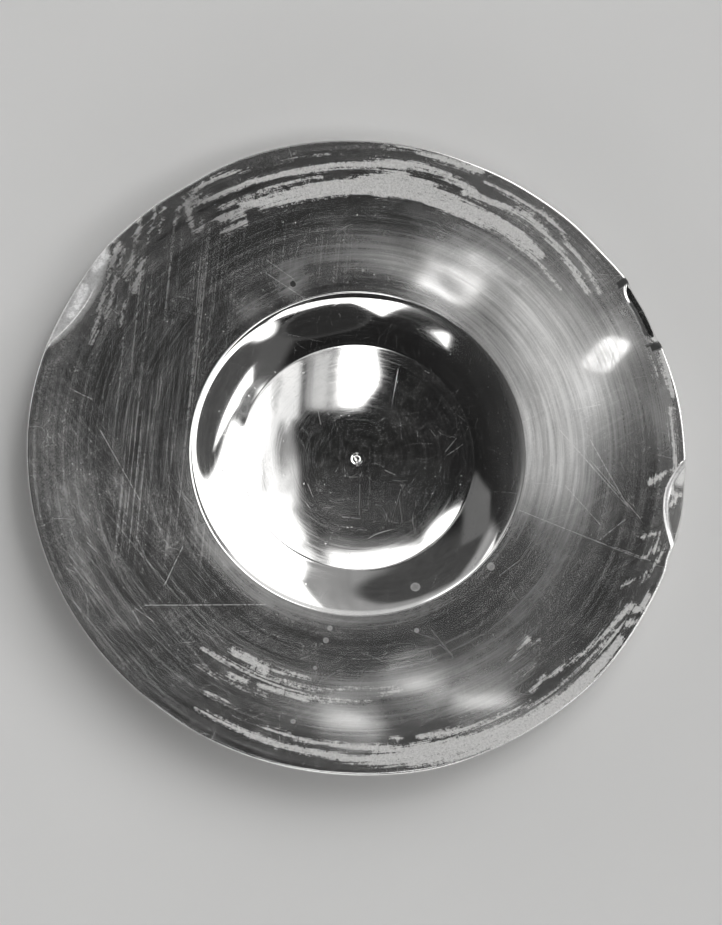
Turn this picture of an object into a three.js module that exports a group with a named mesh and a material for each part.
// Paten plate: one disc of silver sheet, raised by hand into a wide, gently
// dished rim around a shallow well. The well has a coved wall, a crease where
// the wall meets the floor, and a slightly hollow floor. Millimetres, +Z up
// through the open side. Origin: centre of the flat resting spot under the
// well floor. Angles run anticlockwise from +X, seen from above.
import * as THREE from 'three';

// ---- driving dimensions (mm, slopes in degrees) ---------------------------
const RIM_RADIUS = 82.5;          // outside of the rim
const WELL_RADIUS = 42.0;         // crisp edge between rim and well
const FLOOR_RADIUS = 29.4;        // crease between well wall and floor
const REST_RADIUS = 12.0;         // flat spot under the floor
const SHEET = 1.0;                // thickness of the sheet
const LIP = 0.5;                  // radial width of the turned lip at the well edge
const EDGE_EASE = 0.3;            // softened outer edge
const EDGE_ZONE = 1.0;            // near the edge the underside lies straight below the top

const FLOOR_EDGE_SLOPE = 8.0;     // floor slope where it meets the crease
const WALL_SLOPE_IN = 10.5;       // wall slope just outside the crease
const WALL_SLOPE_OUT = 25.5;      // wall slope below the well edge, before the last turn
const WALL_POWER = 1.2;           // how quickly the wall steepens
const WALL_TURN = 11;             // extra slope of the last turn up to the well edge
const WALL_TURN_POWER = 9;        // how late that last turn sets in
const RIM_SLOPE_IN = 2.5;         // rim slope just outside the well edge
const RIM_SLOPE_OUT = 3.8;        // rim slope at the outer edge

const WALL_END = WELL_RADIUS - LIP / 2;
const RIM_START = WELL_RADIUS + LIP / 2;
const EASED_RADIUS = RIM_RADIUS - EDGE_EASE;

// Hand-cut outline: small bulges and flats [angle deg, radial mm, half width deg]
const OUTLINE = [
  [341, -0.61, 2], [350, 0.30, 6], [2, -0.32, 8], [14, -0.39, 8], [21, -0.52, 6],
  [31, -0.12, 3.5], [41, -0.83, 7], [54, -0.76, 9], [69, -0.82, 10], [86, -0.31, 9],
  [105, -0.06, 7], [122, -0.62, 7], [134, -0.27, 6], [141, 0.23, 7], [172, 0.20, 13],
  [225, -0.18, 15], [284, 0.38, 9], [315, 0.22, 8], [330, -0.24, 8],
];
const OUTLINE_POWER = 6;          // how fast the outline shift fades towards the centre

// Knocks on the rim edge, where the sheet is turned down outside a crease:
// ends of the crease (deg), deepest reach in from the edge (mm), angle at which
// it is deepest (deg), slope of the turned part (deg), how square its ends are
const KNOCKS = [
  { from: 20.4, to: 33.4, reach: 2.95, deepest: 26.8, slope: 37, square: 6 },
  { from: -17.2, to: -1.6, reach: 4.75, deepest: -8.6, slope: 38, square: 2 },
  { from: 140.0, to: 161.5, reach: 4.4, deepest: 150.5, slope: 15, square: 2 },
];

// Slow twist of the rim: [lobes, phase deg, mm at the outer edge]
const TWIST = [[2, 38, 0.16], [3, 205, 0.08]];

// ---- mesh spacing ---------------------------------------------------------
const HEIGHT_STEP = 0.05;         // mm, radial step when summing the slope
const COLUMN_STEP = 3.75;         // deg, between columns all round
const KNOCK_COLUMN_STEP = 1.2;    // deg, about this between columns within a knock
const COLUMN_GAP = 0.75;          // deg, columns no further apart than this are merged

// Ring radii, from the centre outwards
const TOP_RINGS = [
  6, REST_RADIUS, 18, 24, FLOOR_RADIUS,
  31.5, 34, 36.5, 39, 40.5, WALL_END, WELL_RADIUS, RIM_START,
  50, 58, 66, 73, 76.6, 78.4, 80, EASED_RADIUS,
];
const UNDER_RINGS = [
  REST_RADIUS, 18, 24, FLOOR_RADIUS,
  33, 37, WALL_END, RIM_START,
  54, 66, 74, 77.4, 80, EASED_RADIUS,
];

const DEG = Math.PI / 180;

// ---- section --------------------------------------------------------------
// Slope of the top surface, in degrees
function slopeAt(radius) {
  if (radius <= FLOOR_RADIUS) return FLOOR_EDGE_SLOPE * (radius / FLOOR_RADIUS);
  if (radius < WALL_END) {
    const t = (radius - FLOOR_RADIUS) / (WALL_END - FLOOR_RADIUS);
    return WALL_SLOPE_IN + (WALL_SLOPE_OUT - WALL_SLOPE_IN) * Math.pow(t, WALL_POWER)
      + WALL_TURN * Math.pow(t, WALL_TURN_POWER);
  }
  if (radius < RIM_START) {
    const t = (radius - WALL_END) / LIP;
    const blend = t * t * (3 - 2 * t);
    return (WALL_SLOPE_OUT + WALL_TURN) * (1 - blend) + RIM_SLOPE_IN * blend;
  }
  const t = (radius - RIM_START) / (RIM_RADIUS - RIM_START);
  return RIM_SLOPE_IN + (RIM_SLOPE_OUT - RIM_SLOPE_IN) * t;
}

// Height of the top surface at each step, one step past the rim for interpolation
const heights = [SHEET];
for (let i = 1; i <= Math.ceil(RIM_RADIUS / HEIGHT_STEP) + 1; i++) {
  const slope = slopeAt((i - 0.5) * HEIGHT_STEP) * DEG;
  heights.push(heights[i - 1] + Math.tan(slope) * HEIGHT_STEP);
}
function heightAt(radius) {
  const place = radius / HEIGHT_STEP;
  const i = Math.floor(place);
  return heights[i] + (heights[i + 1] - heights[i]) * (place - i);
}

// ---- hand-made irregularity -----------------------------------------------
// Signed difference of two angles, in degrees
function turn(a, b) {
  return ((a - b + 540) % 360) - 180;
}

function outlineShift(radius, deg) {
  let shift = 0;
  for (const [at, mm, half] of OUTLINE) {
    shift += mm * Math.exp(-Math.pow(turn(deg, at) / half, 2));
  }
  return shift * Math.pow(radius / RIM_RADIUS, OUTLINE_POWER);
}

// How far the knocks push the sheet down
function knockDrop(radius, deg) {
  let drop = 0;
  for (const knock of KNOCKS) {
    const offset = turn(deg, knock.deepest);
    const half = offset < 0 ? turn(knock.deepest, knock.from) : turn(knock.to, knock.deepest);
    const share = Math.abs(offset) / half;
    if (share >= 1) continue;
    const reach = knock.reach * (1 - Math.pow(share, knock.square));
    const pastCrease = radius - (RIM_RADIUS - reach);
    if (pastCrease > 0) drop += pastCrease * Math.tan(knock.slope * DEG);
  }
  return drop;
}

// Rise or fall of the rim, nothing inside the well
function twist(radius, deg) {
  const t = Math.max(0, (radius - WELL_RADIUS) / (RIM_RADIUS - WELL_RADIUS));
  let z = 0;
  for (const [lobes, phase, mm] of TWIST) {
    z += mm * t * t * Math.cos((lobes * deg - phase) * DEG);
  }
  return z;
}

// ---- columns: even all round, closer within the knocks --------------------
function columnAngles() {
  const columns = [];
  for (let deg = 0; deg < 360; deg += COLUMN_STEP) columns.push(deg);
  for (const { from, to } of KNOCKS) {
    const count = Math.round((to - from) / KNOCK_COLUMN_STEP);
    for (let i = 0; i <= count; i++) {
      columns.push((from + ((to - from) * i) / count + 360) % 360);
    }
  }
  columns.sort((a, b) => a - b);

  const kept = [];
  for (const deg of columns) {
    if (!kept.length || deg - kept[kept.length - 1] > COLUMN_GAP) kept.push(deg);
  }
  // the last column must also stay clear of the first
  if (360 + kept[0] - kept[kept.length - 1] < COLUMN_GAP) kept.pop();
  return kept;
}

// ---- plate ----------------------------------------------------------------
function plateGeometry() {
  const angles = columnAngles();
  const count = angles.length;
  const position = [];
  const index = [];

  function addPoint(radius, deg, z) {
    position.push(radius * Math.cos(deg * DEG), radius * Math.sin(deg * DEG), z);
    return position.length / 3 - 1;
  }
  // radius and z are those of the true round plate; the irregularities are added here
  function ring(radius, z) {
    return angles.map((deg) => addPoint(
      radius + outlineShift(radius, deg),
      deg,
      z + twist(radius, deg) - knockDrop(radius, deg),
    ));
  }
  function underRing(radius) {
    if (radius <= REST_RADIUS) return ring(radius, 0);
    if (radius > RIM_RADIUS - EDGE_ZONE) return ring(radius, heightAt(radius) - SHEET);
    // one sheet thickness away, square to the top surface
    const slope = slopeAt(radius) * DEG;
    return ring(radius + SHEET * Math.sin(slope), heightAt(radius) - SHEET * Math.cos(slope));
  }

  const top = TOP_RINGS.map((radius) => ring(radius, heightAt(radius)));
  const edge = ring(RIM_RADIUS, heightAt(RIM_RADIUS) - SHEET / 2);
  const under = UNDER_RINGS.map(underRing);

  // middle of the floor
  const crown = addPoint(0, 0, heightAt(0));
  for (let i = 0; i < count; i++) index.push(crown, top[0][i], top[0][(i + 1) % count]);

  // bands out over the top, round the edge and back in underneath
  const rings = [...top, edge, ...under.toReversed()];
  for (let k = 0; k + 1 < rings.length; k++) {
    const a = rings[k];
    const b = rings[k + 1];
    for (let i = 0; i < count; i++) {
      const j = (i + 1) % count;
      index.push(a[i], b[i], b[j], a[i], b[j], a[j]);
    }
  }

  // the flat resting spot, closed without a middle point, so that one face
  // spans the origin: a large triangle and a fan beyond each of its sides
  const rest = under[0];
  const corners = [0, Math.round(count / 3), Math.round((2 * count) / 3), count];
  index.push(rest[corners[0]], rest[corners[2]], rest[corners[1]]);
  for (let c = 0; c < 3; c++) {
    for (let i = corners[c] + 1; i < corners[c + 1]; i++) {
      index.push(rest[corners[c]], rest[(i + 1) % count], rest[i]);
    }
  }

  const geometry = new THREE.BufferGeometry();
  geometry.setAttribute('position', new THREE.Float32BufferAttribute(position, 3));
  geometry.setIndex(index);
  geometry.computeVertexNormals();
  return geometry;
}

const silver = new THREE.MeshStandardMaterial({
  color: 0xdedddb,
  roughness: 0.16,
  metalness: 1.0,
});

const plate = new THREE.Mesh(plateGeometry(), silver);
plate.name = 'plate';

const group = new THREE.Group();
group.add(plate);
export default group;
